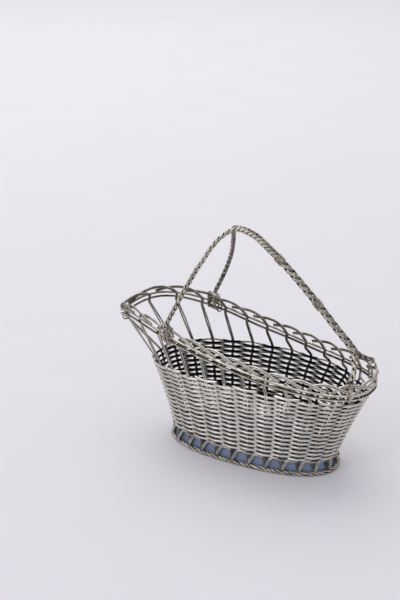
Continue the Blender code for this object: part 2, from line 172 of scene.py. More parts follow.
# Wires wound round the rim, as (from, to, turns, slant, wider), in metres but for the turns. A neck
# knot's run towards the rear, with an upright doubled loop first and then turns that cross.
NECK_WINDINGS = (
    (-0.0062, -0.0044, 2, 0, 0),
    (-0.0016, 0.0030, 2, 0.0024, 0.0004),
    (0, 0.0042, 1.5, -0.0030, 0.0016),
)
REAR_WINDING = (-0.0011, 0.0011, 2, 0.0008, 0)
# The wire end that hooks back beside a rear knot, as (along the rim to the neck, outward, above the hoop)
HOOK_PLACES = (
    (-0.0010, 0.0026, 0.0080),
    (0.0004, 0.0034, 0.0042),
    (0.0034, 0.0036, 0.0022),
    (0.0062, 0.0030, 0.0046),
    (0.0060, 0.0024, 0.0076),
)

# Handle
APEX_PLACE = -0.0058
APEX_HEIGHT = 0.2147
ROPE_STANDS_OUT = 0.0014
FRONT_LEG_SHARES = (
    (0, 0, 1),
    (0.1, 0.118, 0.994),
    (0.242, 0.286, 0.959),
    (0.328, 0.398, 0.925),
    (0.419, 0.51, 0.849),
    (0.498, 0.622, 0.745),
    (0.584, 0.734, 0.6),
    (0.667, 0.846, 0.445),
    (0.756, 0.93, 0.26),
    (0.87, 0.982, 0.12),
)
REAR_LEG_START = 0.0092
REAR_LEG_START_DROP = 0.0033
REAR_LEG_BOW = 0.0058
REAR_LEG_BOW_SHARE = 0.8
REAR_LEG_SHARES = (0.16, 0.33, 0.5, 0.67, 0.84, 1)
SPLIT_PLACE = 0.1095
SPLIT_HEIGHT = 0.1200
SPLIT_SHARES = ((0.3, 0.3, 0.2), (0.75, 0.62, 0.5), (1.02, 0.85, 0.82))
ROPE_SPACING = 0.0009  # between two points along a rope
FRONT_LAY = 0.0115  # length of one full twist in the front legs
APEX_LAY = 0.0085
REAR_LAY = 0.0170
PAIR_ANGLE = math.radians(29)  # of one wire from the middle of its strand
UPPER_BINDING_SHARE = 0.26
LOWER_BINDING_SHARE = 0.64
BINDING_TURNS = 5
BINDING_PITCH = 0.0016
BINDING_TAIL = (0.0035, 0.0012)  # its wire's end, along the leg and away from it

# Wire eye at the neck end
EYE_KNOT = 14.18
EYE_DIAMETER = 0.0078
EYE_OUTWARD = 0.0010
EYE_STEPS = 36

OVAL_SAMPLES = 1440
BEVEL_STEPS = 2  # which makes a wire of eight sides
SMOOTH_ANGLE = math.radians(50)
TANGENT_STEP_SHARE = 0.002
MERGE_DISTANCE = 0.000001

# Darkening where shade falls and cloth doesn't reach: painted shade with tarnish between close wires, and
# plain painted shade where a weaver passes behind a stake. It grows from none to full as a side of a wire
# turns to face the wires beside it, between these two cosines, and as a weaver swings from in front of a
# stake (1) to behind it (-1).
PAIR_HOLLOW_SHADE = (0.45, 0.95)
HOOP_HOLLOW_SHADE = (0.2, 0.7)
ROPE_HOLLOW_SHADE = (-0.45, 0.2)
CROSSING_SWINGS = (-0.45, -0.1)
END_SHADE_REACH = 0.3  # how much further out of its crossings the weave's painted shade reaches at the tips

# Darkening of the wires, from 0 for rubbed bright to 1 for the darkest; some of it is painted shade, as
# marked
INSIDE_FACING = (0.1, 0.7)  # cosines between which a side begins to face into the basket
INSIDE_SHADE = 0.55  # painted shade on the sides of rim and stakes that face into the basket
# painted shade on the weave's sides that face into the basket
WEAVE_INSIDE_SHADE = 0.5
FAR_ROPE_SHADE = 0.45  # of the far rope: painted shade, darker than the near one
NEAR_ROPE_SHADE = 0.08  # of the near rope: a little painted shade
BINDING_DULLNESS = 0.35
EYE_DULLNESS = 0.5
BAND_DULLNESS = 0.32  # of the stakes between weave and rim
NECK_DULLNESS = 0.4  # of the rim's wires at the neck tip, from none at the rear
FOOT_DULLNESS = 0.68
HIDDEN_DULLNESS = 0.2  # of the rear knots' turns
EDGE_DULLNESS = 0.5  # of the weave's lowest row
FOLD_DULLNESS = 0.5  # of the weaver's fold

# Finishes, with noise features in millimetres and the shares of the noise between which they show
PATCH_SIZE_MM = 7
PATCH_SHARES = (0.42, 0.68)
SPECK_SIZE_MM = 1.4
SPECK_SHARES = (0.56, 0.72)
DARKENING_ROUGHNESS = 0.25  # added where the darkening, painted shade and tarnish, is full
DENT_DEPTH = 0.0001
PAN_METALNESS = 0.3
PAN_CLOUD_SIZE_MM = 14
PAN_MARK_SIZE_MM = 2.5
PAN_MARK_STRETCH = 6
PAN_MARK_SHARES = (0.3, 0.7)
PAN_ROUGHNESS = (0.38, 0.6)
PAN_MARK_STRENGTH = 0.15
# The pan's floor, facing up between these cosines, is painted dark as shade by this share.
PAN_FLOOR_FACING = (0.3, 0.7)
PAN_FLOOR_SHADE_SHARE = 0.9
PAPER_ROUGHNESS = 0.9
PAPER_SPECULAR = 0.1
PAPER_FIBRE_SIZE_MM = 90

# Studio: camera, floor, soft lights and a pale room that is darker low down
CAMERA_PLACE = (0.5103, -0.9997, 0.6105)
CAMERA_AZIMUTH = math.radians(29.077)
CAMERA_ELEVATION = math.radians(22.433)
CAMERA_LENS = 80.3
CAMERA_NEAR_CLIP = 0.05
FLOOR_SIZE = 60
WINDOW_PLACE = (-1.2, 1.2, 2.1)
WINDOW_SIZE = 3.0
WINDOW_POWER = 30
FILL_PLACE = (-0.9, -1.9, 1.6)
FILL_SIZE = 1.0
FILL_POWER = 8
LIGHT_AIM = (0, 0, 0.08)
ROOM_HIGH = "#F4F3F8"
ROOM_LOW = "#5A575A"
ROOM_BLEND_SHARE = 0.85  # how far up the sky the room is fully pale
ROOM_STRENGTH = 0.87


class Oval:
    """A superellipse whose places are shares of the length round it. Its -X tip may be less square."""

    def __init__(self, centre, length, width, squareness, tip_squareness):
        angle = np.linspace(0, 2 * math.pi, OVAL_SAMPLES + 1)
        near_tip = np.maximum(0, -np.cos(angle)) ** TIP_BLEND_POWER
        power = squareness + (tip_squareness - squareness) * near_tip
        across = np.abs(np.cos(angle) / (length / 2)) ** power
        along = np.abs(np.sin(angle) / (width / 2)) ** power
        reach = (across + along) ** (-1 / power)
        self.x = centre + reach * np.cos(angle)
        self.y = reach * np.sin(angle)
        run = np.concatenate([[0], np.cumsum(np.hypot(np.diff(self.x), np.diff(self.y)))])
        self.round = run[-1]
        self.shares = run / self.round

    def at(self, share):
        share = share % 1
        return Vector((np.interp(share, self.shares, self.x), np.interp(share, self.shares, self.y), 0))

    def outward(self, share):
        along = self.at(share + TANGENT_STEP_SHARE) - self.at(share - TANGENT_STEP_SHARE)
        return Vector((along.y, -along.x, 0)).normalized()

    def offset(self, share, distance, height):
        place = self.at(share) + distance * self.outward(share)
        place.z = height
        return place


FOOT = Oval(FOOT_CENTRE, FOOT_LENGTH - FOOT_ROPE, FOOT_WIDTH - FOOT_ROPE, FOOT_SQUARENESS, FOOT_SQUARENESS)
WALL_BASE = Oval(FOOT_CENTRE, WALL_BASE_LENGTH, WALL_BASE_WIDTH, FOOT_SQUARENESS, FOOT_SQUARENESS)
WALL_TOP = Oval(WALL_TOP_CENTRE, WALL_TOP_LENGTH, WALL_TOP_WIDTH, WALL_TOP_SQUARENESS, WALL_TOP_SQUARENESS)
RIM = Oval(RIM_CENTRE, RIM_LENGTH, RIM_WIDTH, RIM_SQUARENESS, RIM_TIP_SQUARENESS)

STAKE_END_HEIGHT = FOOT_ROPE + CLEARANCE + STAKE_WIRE / 2
STAKE_INSIDE_RIM = HOOP_WIRE / 2 + CLEARANCE + STAKE_WIRE / 2
WEAVE_SWING = STAKE_DEPTH - WEAVER_WIRE / 2  # how far a weaver passes outside or inside a stake's middle


def wall_top_height(share):
    along = (WALL_TOP.at(share).x - WALL_TOP_CENTRE) / (WALL_TOP_LENGTH / 2)
    return WALL_TOP_HEIGHT - WALL_TOP_DROP * along**2


def shifted(share, shift_shares):
    """A place round the basket, moved the same way on both sides and not at all at the tips."""
    once, twice = shift_shares
    turn = 2 * math.pi * share
    return share - once * math.sin(turn) + twice * math.sin(2 * turn)


def rim_share(share):
    """Where on the rim a stake from this place round the wall's top arrives, fanned out at the neck."""
    return shifted(share, RIM_SHIFT_SHARES)


def base_share(share):
    """Where on the wall's base and the foot a stake from this place round the wall's top stands."""
    return shifted(share, BASE_SHIFT_SHARES)


def wall_outward(share, level):
    return WALL_BASE.outward(base_share(share)).lerp(WALL_TOP.outward(share), level)


def wall_point(share, level, depth):
    """A place in the woven wall: level 0 at its base and 1 at its top, depth inward from its face."""
    bow = WALL_BOW * 4 * level * (1 - level)
    base = WALL_BASE.offset(base_share(share), -depth - bow, WALL_BASE_HEIGHT)
    top = WALL_TOP.offset(share, -depth - bow, wall_top_height(share))
    return base.lerp(top, level)


def towards_neck(place):
    """How far along the rim's length a place is, from 0 at the rear tip to 1 at the neck tip."""
    return min(max((RIM_CENTRE + RIM_LENGTH / 2 - place.x) / RIM_LENGTH, 0), 1)


def rim_height(place):
    """The upper hoop's height, which climbs towards the neck end and dips in a lip at its tip."""
    climb = towards_neck(place)
    return RIM_REAR_HEIGHT + RIM_RISE * climb**RIM_RISE_POWER - RIM_DIP * climb**RIM_DIP_POWER


def hoop_spacing(place):
    return HOOP_SPACING_REAR + (HOOP_SPACING_NECK - HOOP_SPACING_REAR) * towards_neck(place)


def arch_height(place):
    return ARCH_HEIGHT_REAR + (ARCH_HEIGHT_NECK - ARCH_HEIGHT_REAR) * towards_neck(place)


def rim_point(share, outward, above):
    """A place at the rim, from the upper hoop's centreline."""
    on_hoop = RIM.at(share)
    return RIM.offset(share, outward, rim_height(on_hoop) + above)


def foot_point(share, climb):
    """A place in line with the stakes, between the foot ring at 0 and the woven wall at 1."""
    foot = FOOT.offset(base_share(share), -STAKE_INSIDE_FOOT, STAKE_END_HEIGHT)
    return foot.lerp(wall_point(share, 0, STAKE_DEPTH), climb)


def bend(points, spacing, closed=False):
    """Places about a spacing apart on a smooth curve through the points, each with its mark: the
    number of the point before it and the share of the way to the next."""
    if closed:
        around = [points[-1], *points, points[0], points[1]]
    else:
        around = [points[0] * 2 - points[1], *points, points[-1] * 2 - points[-2]]
    spans = [(after - before).length for before, after in zip(around, around[1:])]
    slopes = []
    for before, here, after, span, next_span in zip(around, around[1:], around[2:], spans, spans[1:]):
        slope = (here - before) * (next_span / span) + (after - here) * (span / next_span)
        slopes.append(slope / (span + next_span))
    places = []
    for index, (start, end, span) in enumerate(zip(around[1:-1], around[2:-1], spans[1:])):
        steps = max(1, round(span / spacing))
        for step in range(steps):
            t = step / steps
            place = start * (2 * t**3 - 3 * t**2 + 1) + end * (3 * t**2 - 2 * t**3)
            place += slopes[index] * (span * (t**3 - 2 * t**2 + t))
            place += slopes[index + 1] * (span * (t**3 - t**2))
            places.append((place, index + t))
    if not closed:
        places.append((points[-1], len(points) - 1))
    return places


def at_mark(values, mark):
    """The value at a mark along a list of vectors."""
    index = min(int(mark), len(values) - 2)
    return values[index].lerp(values[index + 1], mark - index)


def bend_places(points, spacing, closed=False):
    return [place for place, mark in bend(points, spacing, closed)]


def frames_along(path, closed=False):
    """At each place of a path its direction, and a side direction that turns as little as it can."""
    before = [path[-1] if closed else path[0], *path[:-1]]
    after = [*path[1:], path[0] if closed else path[-1]]
    directions = [(following - last).normalized() for last, following in zip(before, after)]
    aside = directions[0].cross(Vector((0, 0, 1))).normalized()
    frames = []
    last = directions[0]
    for direction in directions:
        aside = (last.rotation_difference(direction) @ aside).normalized()
        frames.append((direction, aside))
        last = direction
    return frames


def wind(path, angles, distance, turns, closed=False):
    """One wire for each starting angle, wound round a path. Turns says how far it has turned at
    each place."""
    frames = frames_along(path, closed)
    wires = []
    for start in angles:
        wire = []
        for place, (direction, aside), turned in zip(path, frames, turns):
            angle = start + 2 * math.pi * turned
            upward = direction.cross(aside)
            wire.append(place + distance * (math.cos(angle) * aside + math.sin(angle) * upward))
        wires.append(wire)
    return wires


def srgb(text):
    """A linear colour from its sRGB hex value."""
    parts = [int(text[place : place + 2], 16) / 255 for place in (1, 3, 5)]
    linear = [part / 12.92 if part <= 0.04045 else ((part + 0.055) / 1.055) ** 2.4 for part in parts]
    return (*linear, 1)


def add_node(material, kind, inputs, **settings):
    """Adds a shader node; each input is given a value or the socket that feeds it."""
    made = material.node_tree.nodes.new(kind)
    for name, value in settings.items():
        setattr(made, name, value)
    for name, value in inputs.items():
        if isinstance(value, bpy.types.NodeSocket):
            material.node_tree.links.new(value, made.inputs[name])
        else:
            made.inputs[name].default_value = value
    return made


def new_material(name):
    material = bpy.data.materials.new(name)
    material.use_nodes = True
    return material


def connect(material, source, shader_input):
    shader = material.node_tree.nodes["Principled BSDF"]
    material.node_tree.links.new(source, shader.inputs[shader_input])


def per_mm(size):
    """A noise scale that gives features of this many millimetres."""
    return 1000 / size


def noise(material, place, size_mm, detail, roughness=0.5):
    """Noise with features of this many millimetres."""
    return add_node(
        material,
        "ShaderNodeTexNoise",
        {"Vector": place, "Scale": per_mm(size_mm), "Detail": detail, "Roughness": roughness},
    ).outputs["Fac"]


def rescaled(material, value, before, after):
    """A value brought from one range to another, and kept inside it."""
    low, high = before
    least, most = after
    return add_node(
        material,
        "ShaderNodeMapRange",
        {"Value": value, "From Min": low, "From Max": high, "To Min": least, "To Max": most},
    ).outputs["Result"]


def sum_of(material, first, second):
    """Two values added, at most 1."""
    return add_node(
        material, "ShaderNodeMath", {0: first, 1: second}, operation="ADD", use_clamp=True
    ).outputs["Value"]


def mixed(material, share, first, second):
    """One colour turned into another by this share."""
    return add_node(
        material, "ShaderNodeMix", {"Factor": share, "A": first, "B": second}, data_type="RGBA"
    ).outputs["Result"]


def bumps(material, height, strength):
    """A normal for small dents of this height pattern."""
    return add_node(
        material, "ShaderNodeBump", {"Height": height, "Strength": strength, "Distance": DENT_DEPTH}
    ).outputs["Normal"]


def plated_wire(name, polished, worn, shade_and_tarnish_colour, roughness, tarnish_share, fleck_share):
    """Old silver plate on drawn wire: polished where hands and cloth reach, darkened by painted shade and
    tarnish where wires cross, lie close and face inward, with brown-olive tarnish in drifting patches and
    in specks, which are also small dents."""
    material = new_material(name)
    shader = material.node_tree.nodes["Principled BSDF"]
    shader.inputs["Metallic"].default_value = 1
    place = add_node(material, "ShaderNodeTexCoord", {}).outputs["Object"]
    shade_and_tarnish_fac = add_node(material, "ShaderNodeAttribute", {}, attribute_name="shade_and_tarnish").outputs["Fac"]
    tone = add_node(material, "ShaderNodeAttribute", {}, attribute_name="tone").outputs["Fac"]
    patches = noise(material, place, PATCH_SIZE_MM, detail=3, roughness=0.6)
    specks = noise(material, place, SPECK_SIZE_MM, detail=2, roughness=0.7)
    drift = rescaled(material, patches, PATCH_SHARES, (0, tarnish_share))
    flecks = rescaled(material, specks, SPECK_SHARES, (0, fleck_share))
    dark_share = sum_of(material, sum_of(material, shade_and_tarnish_fac, drift), flecks)
    own_tone = mixed(material, tone, srgb(polished), srgb(worn))
    colour = mixed(material, dark_share, own_tone, srgb(shade_and_tarnish_colour))
    sheen = rescaled(material, dark_share, (0, 1), (roughness, roughness + DARKENING_ROUGHNESS))
    connect(material, colour, "Base Color")
    connect(material, sheen, "Roughness")
    connect(material, bumps(material, specks, fleck_share), "Normal")
    return material


def woven_silver():
    """The palest wire: outer bends rubbed bright, near-black as painted shade where it passes behind
    stakes.
    """
    return plated_wire(
        "silver_plate_weaver_wire",
        "#F8F3EC",
        "#EAE3D9",
        "#14110E",
        roughness=0.3,
        tarnish_share=0.2,
        fleck_share=0.22,
    )


def stake_silver():
    """Thinner wire, a little duller than the weave."""
    return plated_wire(
        "silver_plate_stake_wire",
        "#F8F3EA",
        "#E6DFD2",
        "#30281A",
        roughness=0.26,
        tarnish_share=0.22,
        fleck_share=0.16,
    )


def hoop_silver():
    """Smooth thick hoops, rubbed bright, with a faint warmth."""
    return plated_wire(
        "silver_plate_hoop_wire",
        "#F8F3EA",
        "#EDE5D7",
        "#4A3F2E",
        roughness=0.2,
        tarnish_share=0.3,
        fleck_share=0.1,
    )


def foot_silver():
    """The foot wires, rough and darker than the rest."""
    return plated_wire(
        "silver_plate_foot_wire",
        "#EAE3D4",
        "#D0C6B2",
        "#2A241B",
        roughness=0.34,
        tarnish_share=0.45,
        fleck_share=0.35,
    )


def lacing_silver():
    """The lacing wire, rubbed brighter than the ring it stands on."""
    return plated_wire(
        "silver_plate_lacing_wire",
        "#F8F4EE",
        "#E6E0D6",
        "#2A241B",
        roughness=0.26,
        tarnish_share=0.2,
        fleck_share=0.14,
    )


def rope_silver():
    """Twisted wires: bright crowns, and near-black painted shade with tarnish in the hollows between them.
    """
    return plated_wire(
        "silver_plate_rope_wire",
        "#F2ECE0",
        "#DAD1C0",
        "#1D1913",
        roughness=0.28,
        tarnish_share=0.35,
        fleck_share=0.25,
    )


def tie_silver():
    """The knots' wire, bright on its many bends."""
    return plated_wire(
        "silver_plate_tie_wire",
        "#F0EADD",
        "#DAD1C0",
        "#2A241B",
        roughness=0.28,
        tarnish_share=0.35,
        fleck_share=0.2,
    )


def blued_sheet():
    """The base pan's slate-blue sheet, dull, with faint rolling marks, and a floor painted dark as shade.
    """
    material = new_material("blued_sheet_metal")
    shader = material.node_tree.nodes["Principled BSDF"]
    shader.inputs["Metallic"].default_value = PAN_METALNESS
    place = add_node(material, "ShaderNodeTexCoord", {}).outputs["Object"]
    stretched = add_node(
        material, "ShaderNodeMapping", {"Vector": place, "Scale": (1, 1, PAN_MARK_STRETCH)}
    ).outputs["Vector"]
    clouds = noise(material, place, PAN_CLOUD_SIZE_MM, detail=4, roughness=0.6)
    marks = noise(material, stretched, PAN_MARK_SIZE_MM, detail=3)
    facing = add_node(material, "ShaderNodeNewGeometry", {}).outputs["Normal"]
    upward = add_node(material, "ShaderNodeSeparateXYZ", {"Vector": facing}).outputs["Z"]
    # Painted shade: the floor that faces up is turned dark.
    floor_shade_share = rescaled(material, upward, PAN_FLOOR_FACING, (0, PAN_FLOOR_SHADE_SHARE))
    side = mixed(material, clouds, srgb("#8192B2"), srgb("#9FB0CB"))
    connect(material, mixed(material, floor_shade_share, side, srgb("#33363D")), "Base Color")
    connect(material, rescaled(material, marks, PAN_MARK_SHARES, PAN_ROUGHNESS), "Roughness")
    connect(material, bumps(material, marks, PAN_MARK_STRENGTH), "Normal")
    return material


def pale_paper():
    """The studio's seamless pale paper."""
    material = new_material("seamless_paper")
    shader = material.node_tree.nodes["Principled BSDF"]
    shader.inputs["Roughness"].default_value = PAPER_ROUGHNESS
    shader.inputs["Specular IOR Level"].default_value = PAPER_SPECULAR
    place = add_node(material, "ShaderNodeTexCoord", {}).outputs["Object"]
    fibres = noise(material, place, PAPER_FIBRE_SIZE_MM, detail=2)
    connect(material, mixed(material, fibres, srgb("#E9E8EC"), srgb("#EDECF1")), "Base Color")
    return material


def select_only(piece):
    bpy.ops.object.select_all(action="DESELECT")
    piece.select_set(True)
    bpy.context.view_layer.objects.active = piece


def add_attribute(piece, name, values):
    attribute = piece.data.attributes.new(name, "FLOAT", "POINT")
    attribute.data.foreach_set("value", values)


def bend_wires(
    name,
    wires,
    diameter,
    material,
    nodes,
    closed=False,
    shade_and_tarnish=None,
    fullness=None,
    hollow_shade=None,
    group=None,
    inside=0,
    seed=1,
):
    """Round wires as one piece, in place of CAD nodes. The darkening gives each wire's own values of
    painted shade and tarnish, from 0 where it is rubbed bright to 1 in its crossings, and fullness its
    thickness there. Where hollow cosines are given, wires of a group also get painted shade, with tarnish,
    on the sides that face each other; an inside share paints shade on the sides that face into the basket."""
    curve = bpy.data.curves.new(name, "CURVE")
    curve.dimensions = "3D"
    curve.bevel_depth = diameter / 2
    curve.bevel_resolution = BEVEL_STEPS
    curve.use_fill_caps = not closed
    for number, wire in enumerate(wires):
        spline = curve.splines.new("POLY")
        spline.points.add(len(wire) - 1)
        for step, (point, place) in enumerate(zip(spline.points, wire)):
            point.co = (*place, 1)
            point.radius = fullness[number][step] if fullness else 1
        spline.use_cyclic_u = closed
    piece = bpy.data.objects.new(name, curve)
    bpy.context.scene.collection.objects.link(piece)
    select_only(piece)
    bpy.ops.object.convert(target="MESH")
    bpy.ops.object.mode_set(mode="EDIT")
    bpy.ops.mesh.select_all(action="SELECT")
    bpy.ops.mesh.remove_doubles(threshold=MERGE_DISTANCE)
    bpy.ops.mesh.normals_make_consistent(inside=False)
    bpy.ops.object.mode_set(mode="OBJECT")
    bpy.ops.object.shade_smooth_by_angle(angle=SMOOTH_ANGLE)
    colour_wires(piece, wires, shade_and_tarnish, hollow_shade, group or wires, inside, seed)
    piece.data.materials.clear()
    piece.data.materials.append(material)
    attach(piece, "root")
    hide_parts(*nodes)
    return piece


def facing_inside(place, facing):
    """How squarely a direction at this place points into the basket."""
    inward = Vector(((RIM_CENTRE - place.x) / RIM_LENGTH**2, -place.y / RIM_WIDTH**2, 0))
    return facing.dot(inward.normalized())


def colour_wires(piece, wires, shade_and_tarnish, hollow_shade, group, inside, seed):
    """Gives each point of the mesh its wire's tone, and the most of its wire's darkening at the nearest
    place, of the painted shade towards the group's middle and of the painted shade towards the inside."""
    chance = random.Random(seed)
    wire_tones = [chance.random() for _ in wires]
    tree = kdtree.KDTree(sum(len(wire) for wire in wires))
    marks = []
    for number, wire in enumerate(wires):
        for step, place in enumerate(wire):
            tree.insert(place, len(marks))
            marks.append((number, step))
    tree.balance()
    tones = []
    darks = []
    for vertex in piece.data.vertices:
        number, step = marks[tree.find(vertex.co)[1]]
        dark = shade_and_tarnish[number][step] if shade_and_tarnish else 0
        place = wires[number][step]
        facing = (vertex.co - place).normalized()
        # Painted shade, with tarnish, on the sides that face the group's other wires.
        if hollow_shade:
            middle = sum((wire[step] for wire in group), Vector()) / len(group)
            towards = facing.dot((middle - place).normalized())
            dark = max(dark, float(np.interp(towards, hollow_shade, (0, 1))))
        # Painted shade on the sides that face into the basket.
        if inside:
            dull = np.interp(facing_inside(place, facing), INSIDE_FACING, (0, inside))
            dark = max(dark, float(dull))
        tones.append(wire_tones[number])
        darks.append(dark)
    add_attribute(piece, "tone", tones)
    add_attribute(piece, "shade_and_tarnish", darks)


def weave_row(first_row, travelled):
    """A weaver's row after this many stakes: level, with a step up to its next row just before each
    full turn."""
    turns, stakes = divmod(travelled, STAKE_COUNT)
    step_up = max(stakes - (STAKE_COUNT - 1), 0)
    return first_row + 2 * (turns + step_up**2 * (3 - 2 * step_up))


def half_weaver(first_row, phases):
    """One half of the folded weaver, over one stake and under the next up to the top row."""
    turns = len(range(first_row, WEAVE_ROWS, 2))
    wire = []
    dark = []
    full = []
    for step in range((turns * STAKE_COUNT - 1) * WEAVE_STEPS + 1):
        travelled = step / WEAVE_STEPS
        share = (WEAVE_START + travelled) * PITCH_SHARE
        turn = 2 * math.pi * share
        row = weave_row(first_row, travelled)
        swing = math.cos(math.pi * (WEAVE_START + travelled + first_row))
        slow = math.sin(ROW_WAVES[0] * turn + phases[0] + row)
        quick = math.sin(ROW_WAVES[1] * turn + phases[1] + 2 * row)
        strays = ROW_WANDER * (slow + quick) / 2
        level = (row + 0.5) / WEAVE_ROWS + strays / (WALL_TOP_HEIGHT - WALL_BASE_HEIGHT)
        depth = 1 + DEPTH_WANDER_SHARE * (math.sin(DEPTH_WAVES * turn + phases[2] + row) - 1) / 2
        wire.append(wall_point(share, level, STAKE_DEPTH - swing * depth * WEAVE_SWING))
        least = EDGE_DULLNESS if row < 1 else 0
        # Painted shade: near-black where the weaver passes behind a stake, reaching further out at the
        # tips.
        reach = END_SHADE_REACH * math.cos(turn) ** 2
        dark.append(float(np.interp(swing - reach, CROSSING_SWINGS, (1, least))))
        full.append(1 + float(np.interp(swing, (-1, 0, 1), FULLNESS_SHARES)))
    return wire, dark, full


def make_weave(material):
    """One long weaver, folded in half round a stake. Its two halves climb the same way round, a row
    apart."""
    chance = random.Random(3)
    halves = [half_weaver(row, [chance.uniform(0, 2 * math.pi) for _ in range(3)]) for row in (0, 1)]
    fold = []
    for step in range(1, WEAVE_FOLD_STEPS):
        angle = math.pi * (step / WEAVE_FOLD_STEPS - 0.5)
        share = (WEAVE_START - WEAVE_FOLD_SHARE * math.cos(angle)) * PITCH_SHARE
        level = (1 + math.sin(angle) / 2) / WEAVE_ROWS
        fold.append(wall_point(share, level, STAKE_DEPTH - math.sin(angle) * WEAVE_SWING))
    wire = [*reversed(halves[0][0]), *fold, *halves[1][0]]
    dark = [*reversed(halves[0][1]), *[FOLD_DULLNESS] * len(fold), *halves[1][1]]
    full = [*reversed(halves[0][2]), *[1] * len(fold), *halves[1][2]]
    bend_wires(
        "woven_wires",
        [wire],
        WEAVER_WIRE,
        material,
        ["woven_wall"],
        shade_and_tarnish=[dark],
        fullness=[full],
        inside=WEAVE_INSIDE_SHADE,
    )


def stake_path(share):
    """Places along a stake's middle from foot to border, each with its outward direction."""
    on_foot = share + STAKE_FOOT_SHARE * PITCH_SHARE
    path = [(foot_point(on_foot, 0), FOOT.outward(base_share(on_foot)))]
    for level in WALL_LEVEL_SHARES:
        path.append((wall_point(share, level, STAKE_DEPTH), wall_outward(share, level)))
    at_rim = rim_share(share)
    below_hoops = -hoop_spacing(RIM.at(at_rim)) - HOOP_WIRE
    under_rim = (rim_point(at_rim, -STAKE_INSIDE_RIM, below_hoops), RIM.outward(at_rim))
    wall_top = path[-1]
    for band in BAND_SHARES:
        path.append((wall_top[0].lerp(under_rim[0], band), wall_top[1].lerp(under_rim[1], band)))
    path.append(under_rim)
    for onward, up, forward in ARCH_SHARES:
        place = rim_share(share + onward * PITCH_SHARE)
        outward = -STAKE_INSIDE_RIM + forward * (STAKE_INSIDE_RIM + BORDER_FRONT)
        path.append((rim_point(place, outward, up * arch_height(RIM.at(place))), RIM.outward(place)))
    return path


def side_by_side(points, outwards, spacings, step_length, closed=False):
    """Two wires that run side by side along a smooth path, flat against its outward direction."""
    path = bend(points, step_length, closed)
    places = [place for place, mark in path]
    directions = [direction for direction, aside in frames_along(places, closed)]
    marks = range(len(spacings))
    pair = []
    for side in (-1, 1):
        run = []
        for (place, mark), direction in zip(path, directions):
            across = direction.cross(at_mark(outwards, mark)).normalized()
            apart = float(np.interp(mark, marks, spacings))
            run.append(place + side * apart / 2 * across)
        pair.append(run)
    return pair


def neck_dullness(place):
    return NECK_DULLNESS * towards_neck(place) ** 2


def stake_dullness(place, share, under_rim):
    """A stake is dull under the weave, a little in the open band, and towards the neck in the border."""
    if place.z < WALL_BASE_HEIGHT:
        return FOOT_DULLNESS
    if place.z < wall_top_height(share):
        return 0
    return BAND_DULLNESS if place.z < under_rim else neck_dullness(place)


def make_stake(index, material):
    """A stake's two wires, from the foot through the weave into the braided border."""
    path = stake_path(index * PITCH_SHARE)
    points = [place for place, outward in path]
    outwards = [outward for place, outward in path]
    at_neck = (1 - math.cos(2 * math.pi * index * PITCH_SHARE)) / 2
    spacings = [PAIR_SPACING] * len(points)
    spacings[BAND_POINT] += NECK_SPREAD * at_neck**4
    wires = side_by_side(points, outwards, spacings, STAKE_SPACING)
    under_rim = points[BAND_POINT + 2].z
    dark = []
    for wire in wires:
        dark.append([stake_dullness(place, index * PITCH_SHARE, under_rim) for place in wire])
    name = f"stake_{index + 1:02d}"
    bend_wires(
        f"{name}_wires",
        wires,
        STAKE_SHOWN,
        material,
        [name],
        shade_and_tarnish=dark,
        hollow_shade=PAIR_HOLLOW_SHADE,
        inside=INSIDE_SHADE,
        seed=index + 10,
    )


def make_foot_ring(material):
    """Three wires laid up as a rope that runs round the bottom."""
    steps = FOOT_TURNS * FOOT_STEPS
    radius = FOOT_SHOWN / 2
    path = [FOOT.offset(step / steps, 0, radius) for step in range(steps)]
    turns = []
    full = []
    for step in range(steps):
        turn = 2 * math.pi * step / steps
        strays = sum(math.sin(waves * turn) for waves in FOOT_STRAY_WAVES)
        thinning = 1 - sum(math.sin(waves * turn) for waves in FOOT_THINNING_WAVES) / 2
        turns.append(step / FOOT_STEPS + FOOT_STRAY_SHARE * strays)
        full.append(1 - FOOT_THINNING_SHARE * thinning)
    angles = [strand * 2 * math.pi / 3 for strand in range(3)]
    wires = wind(path, angles, radius - FOOT_WIRE / 2, turns, closed=True)
    bend_wires(
        "foot_ring_wires",
        wires,
        FOOT_WIRE,
        material,
        ["foot_ring"],
        closed=True,
        fullness=[full, full[::-1], full],
        hollow_shade=ROPE_HOLLOW_SHADE,
        seed=4,
    )


def make_lacing(material):
    """The doubled wire that zigzags from stake to stake between the foot ring and the weave."""
    margin = CLEARANCE + LACING_WIRE / 2
    window = WALL_BASE_HEIGHT - STAKE_END_HEIGHT
    outward = (STAKE_WIRE + LACING_WIRE) / 2 + CLEARANCE
    points = []
    outwards = []
    for index in range(STAKE_COUNT):
        for onward, up in LACING_SHARES:
            share = (index + onward) * PITCH_SHARE
            climb = (margin + up * (window - 2 * margin)) / window
            facing = FOOT.outward(base_share(share))
            points.append(foot_point(share, climb) + outward * facing)
            outwards.append(facing)
    outwards.append(outwards[0])
    spacings = [LACING_WIRE] * len(outwards)
    wires = side_by_side(points, outwards, spacings, LACING_SPACING, closed=True)
    phases = [mark % len(LACING_SHARES) for place, mark in bend(points, LACING_SPACING, closed=True)]
    dark = [FOOT_DULLNESS if phase >= LACING_FALL else 0 for phase in phases]
    bend_wires(
        "foot_lacing_wires",
        wires,
        LACING_WIRE,
        material,
        ["foot_lacing"],
        closed=True,
        shade_and_tarnish=[dark, dark],
        hollow_shade=PAIR_HOLLOW_SHADE,
        seed=5,
    )


